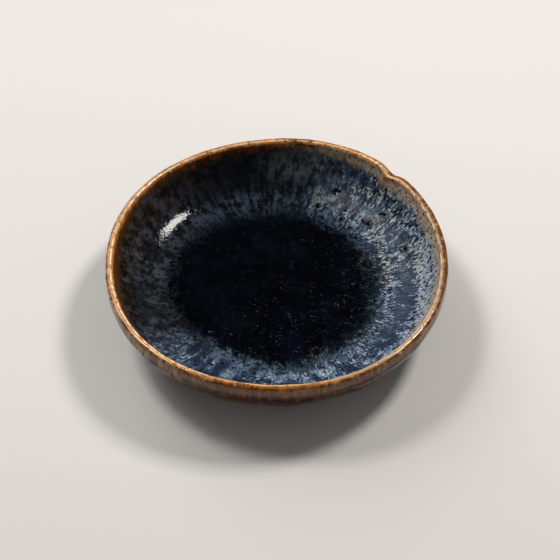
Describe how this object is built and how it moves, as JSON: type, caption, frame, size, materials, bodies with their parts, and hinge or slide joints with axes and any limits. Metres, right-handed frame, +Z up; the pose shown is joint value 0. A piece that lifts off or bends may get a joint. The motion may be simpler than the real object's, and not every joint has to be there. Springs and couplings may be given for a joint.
{
  "type": "small dish",
  "caption": "Small round hand-shaped stoneware dish with a raised faceted wall, a pressed lip, glaze coats inside and out, and a bare foot ring to stand on.",
  "frame": {"origin": "on the dish's axis, in the plane that the foot ring stands on", "axes": "+Z up along the axis; +X to the right and +Y away from the viewer of the picture"},
  "size_m": [0.1095, 0.1093, 0.025],
  "materials": {
    "stoneware": "bare fired clay, buff to toasted brown, with iron specks",
    "foot_clay": "bare fired clay, toasted, slightly worn on the edge it stands on",
    "amber_glaze": "glossy amber to honey-brown glaze with pale runs under the lip",
    "lip_glaze": "glossy thin amber glaze, breaking brown on the edge",
    "blue_glaze": "glossy slate-blue glaze with fine streaks running down, light flecks and dark specks",
    "pooled_glaze": "deep glossy near-black blue glass with tiny light specks"
  },
  "bodies": {
    "root": {"stoneware_body": "stoneware", "foot_ring": "foot_clay", "outside_glaze": "amber_glaze", "rim_glaze": "lip_glaze", "inside_glaze": "blue_glaze", "glaze_pool": "pooled_glaze"}
  },
  "joints": []
}
